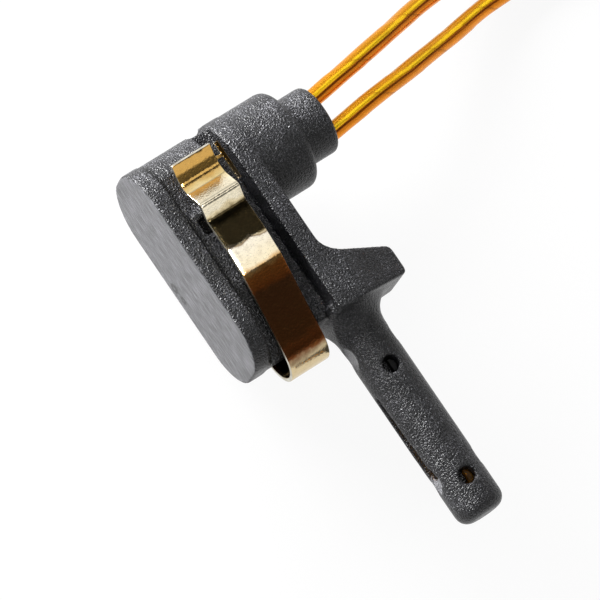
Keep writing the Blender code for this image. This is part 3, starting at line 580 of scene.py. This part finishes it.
strip_place = add_node(tree, "SeparateXYZ", {"Vector": add_node(tree, "UVMap", uv_map="strip")}).outputs
leg_length = float(along[-1] / 2)
leg_share = add_node(tree, "Math", {0: strip_place["Y"], 1: leg_length}, operation="PINGPONG")
leg_share = add_node(tree, "Math", {0: leg_share, 1: leg_length}, operation="DIVIDE")
wander = add_node(tree, "TexNoise", {"Vector": object_place, "Scale": 1 / (WANDER_SIZE * MM), "Detail": 3.0})
wander_range = {"Value": wander, "From Min": 0.3, "From Max": 0.7, "To Min": -WANDER, "To Max": WANDER}
leg_share = add_node(tree, "Math", {0: leg_share, 1: add_node(tree, "MapRange", wander_range)}, operation="ADD")
tone = add_node(tree, "ValToRGB", {"Fac": leg_share}, leg_tones_with_painted_reflections)
stain = add_node(tree, "TexNoise", {"Vector": object_place, "Scale": 1 / (STAIN_SIZE * MM), "Detail": 3.0})
stain = add_node(tree, "MapRange", {"Value": stain, "From Min": 0.5, "From Max": 0.8, "To Max": 0.25})
tone = add_node(tree, "Mix", {"Factor": stain, "A": tone, "B": linear("8A6A3C")}, data_type="RGBA")
# Painted shade on the finger, which lies deep between the walls.
finger_shade_range = {"From Min": CLIP_SIDE, "From Max": FINGER_START, "To Max": 0.85}
finger_painted_shade = add_node(tree, "MapRange", {"Value": strip_place["X"], **finger_shade_range})
tone = add_node(tree, "Mix", {"Factor": finger_painted_shade, "A": tone, "B": linear("4A3212")}, data_type="RGBA")
grit = add_node(tree, "TexNoise", {"Vector": object_place, "Scale": 1 / (GRIT_SIZE * MM)})
grit = add_node(tree, "Bump", {"Strength": 0.5, "Distance": GRIT_DEPTH * MM, "Height": grit})
steel = {"Base Color": tone, "Metallic": 1.0, "Roughness": 0.15, "Normal": grit}
add_node(tree, "OutputMaterial", {"Surface": add_node(tree, "BsdfPrincipled", steel)})

# The sheared edge of the strip has less film on it and shows paler steel.
SHEAR_SIZE = 0.6
sheared, tree, object_place = new_material("Sheared spring steel edge")
tone = add_node(tree, "TexNoise", {"Vector": object_place, "Scale": 1 / (SHEAR_SIZE * MM), "Detail": 3.0})
tone = add_node(tree, "ValToRGB", {"Fac": tone}, [(0.35, "B9B2A0"), (0.65, "DAD6C8")])
edge = add_node(tree, "BsdfPrincipled", {"Base Color": tone, "Metallic": 1.0, "Roughness": 0.3})
add_node(tree, "OutputMaterial", {"Surface": edge})
clip.data.materials.append(gold)
clip.data.materials.append(sheared)
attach(clip, "root")
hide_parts("spring_clip")

# The plug's pieces are a moulded housing and lock, rubber seals and tinned terminals, pushed together round the
# leads' ends. Each has a finish of its own: two near tones and a fine relief.
RELIEF_SIZE = 0.2


def plug_finish(name, dark, light, size, roughness, metallic, depth):
    """A material with two tones that change over some millimetres, and a relief of this depth in millimetres."""
    material, tree, object_place = new_material(name)
    tone = add_node(tree, "TexNoise", {"Vector": object_place, "Scale": 1 / (size * MM), "Detail": 3.0})
    tone = add_node(tree, "ValToRGB", {"Fac": tone}, [(0.35, dark), (0.65, light)])
    relief = add_node(tree, "TexNoise", {"Vector": object_place, "Scale": 1 / (RELIEF_SIZE * MM), "Detail": 3.0})
    bump = add_node(tree, "Bump", {"Strength": 0.4, "Distance": depth * MM, "Height": relief})
    look = {"Base Color": tone, "Roughness": roughness, "Metallic": metallic, "Normal": bump}
    add_node(tree, "OutputMaterial", {"Surface": add_node(tree, "BsdfPrincipled", look)})
    return material


plug_plastic = plug_finish("Matte black plug plastic", "2A2A2C", "343437", 1.5, 0.5, 0.0, 0.03)
lock_plastic = plug_finish("Grey lock plastic", "8E8C86", "A09E97", 1.5, 0.45, 0.0, 0.02)
seal_rubber = plug_finish("Blue-black seal rubber", "20262E", "2A323C", 1.0, 0.6, 0.0, 0.02)
tin = plug_finish("Tinned bronze", "B9B5AC", "D2CFC7", 0.8, 0.3, 1.0, 0.01)
finishes = (plug_plastic, lock_plastic, seal_rubber, seal_rubber, seal_rubber, tin, tin)
for name, material in zip(plug_pieces, finishes):
    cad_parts[name].data.materials[0] = material

# The table is white paper that shows as plain white to the camera and in polished steel, yet keeps the shadow.
TABLE_SIZE = 4.0
WHITE_SHARE = 0.93
half = TABLE_SIZE / 2
table = bpy.data.objects.new("table", bpy.data.meshes.new("table"))
corners = [(-half, -half, 0), (half, -half, 0), (half, half, 0), (-half, half, 0)]
table.data.from_pydata(corners, [], [(0, 1, 2, 3)])
bpy.context.scene.collection.objects.link(table)
table.location.z = cad_bounds[0][2]
white, tree, object_place = new_material("White table paper")
paper = add_node(tree, "BsdfDiffuse", {"Color": linear("E8E8E8")})
glow = add_node(tree, "Emission", {"Color": (1, 1, 1, 1), "Strength": 1.0})
ray = add_node(tree, "LightPath").outputs
seen = add_node(tree, "Math", {0: ray["Is Camera Ray"], 1: ray["Is Glossy Ray"]}, operation="MAXIMUM")
seen = add_node(tree, "Math", {0: seen, 1: ray["Is Transmission Ray"]}, operation="MAXIMUM")
share = add_node(tree, "Math", {0: seen, 1: WHITE_SHARE}, operation="MULTIPLY")
add_node(tree, "OutputMaterial", {"Surface": add_node(tree, "MixShader", {"Fac": share, 1: paper, 2: glow})})
table.data.materials.append(white)

# The studio's walls and ceiling as polished steel sees them: long bright panels with dark gaps between, all
# running along X. A place on this dome is its angle from straight up, from beyond the pin's tip to behind the boss.
STUDIO_GREY = 0.09
panels = (
    (-90, 0.7),
    (-74, 0.68),
    (-68, 0.66),
    (-64, 0.92),
    (-55, 0.9),
    (-48, 0.4),
    (-41, 0.15),
    (-32, 0.09),
    (-20, 0.04),
    (-17, 1.0),
    (-2, 1.0),
    (2, 0.04),
    (18, 0.04),
    (24, 0.95),
    (42, 0.9),
    (54, 0.5),
    (72, 0.55),
    (82, 0.85),
)
world = bpy.data.worlds.new("studio")
bpy.context.scene.world = world
world.use_nodes = True
tree = world.node_tree
direction = add_node(tree, "SeparateXYZ", {"Vector": add_node(tree, "TexCoord").outputs["Generated"]}).outputs
angle = add_node(tree, "Math", {0: direction["Y"], 1: direction["Z"]}, operation="ARCTAN2")
place = add_node(tree, "MapRange", {"Value": angle, "From Min": -math.pi / 2, "From Max": math.pi / 2})
dome = add_node(tree, "ValToRGB", {"Fac": place}, [((degrees + 90) / 180, level) for degrees, level in panels])
ray = add_node(tree, "LightPath").outputs
grey = (STUDIO_GREY, STUDIO_GREY, STUDIO_GREY, 1.0)
studio = add_node(tree, "Mix", {"Factor": ray["Is Glossy Ray"], "A": grey, "B": dome}, data_type="RGBA")
seen = add_node(tree, "Math", {0: ray["Is Camera Ray"], 1: ray["Is Transmission Ray"]}, operation="MAXIMUM")
studio = add_node(tree, "Mix", {"Factor": seen, "A": studio, "B": (1, 1, 1, 1)}, data_type="RGBA")
tree.links.new(studio.outputs["Result"], tree.nodes["Background"].inputs["Color"])


def soft_box(name, across_angle, side_angle, width, height, power, distance=0.6, gloss_only=False):
    """An area lamp whose direction is tipped from straight up by an angle towards +Y and one towards +X.

    A lamp for gloss alone gives the plastic's fibres their glints and leaves the tones to the other lamps.
    """
    lamp = bpy.data.objects.new(name, bpy.data.lights.new(name, "AREA"))
    bpy.context.scene.collection.objects.link(lamp)
    lamp.data.shape = "RECTANGLE"
    lamp.data.size = width
    lamp.data.size_y = height
    lamp.data.energy = power
    lamp.visible_glossy = gloss_only
    lamp.visible_diffuse = not gloss_only
    aim = Matrix.Rotation(math.radians(-across_angle), 4, "X") @ Matrix.Rotation(math.radians(side_angle), 4, "Y")
    lamp.matrix_world = Matrix.Translation(placed(*VIEW_CENTRE)) @ aim @ Matrix.Translation((0, 0, distance))


soft_box("soft box behind the boss", 74.0, -8.0, width=0.22, height=0.12, power=3.0, distance=0.22)
soft_box("soft box beside the plate", 12.0, -72.0, width=0.4, height=0.5, power=1.7)
soft_box("strip overhead", -7.0, -3.0, width=0.04, height=0.2, power=1.3, gloss_only=True)
soft_box("sheen behind the plate", 78.0, -30.0, width=0.1, height=0.1, power=2.6, distance=0.25, gloss_only=True)

bpy.context.scene.view_settings.view_transform = "Standard"
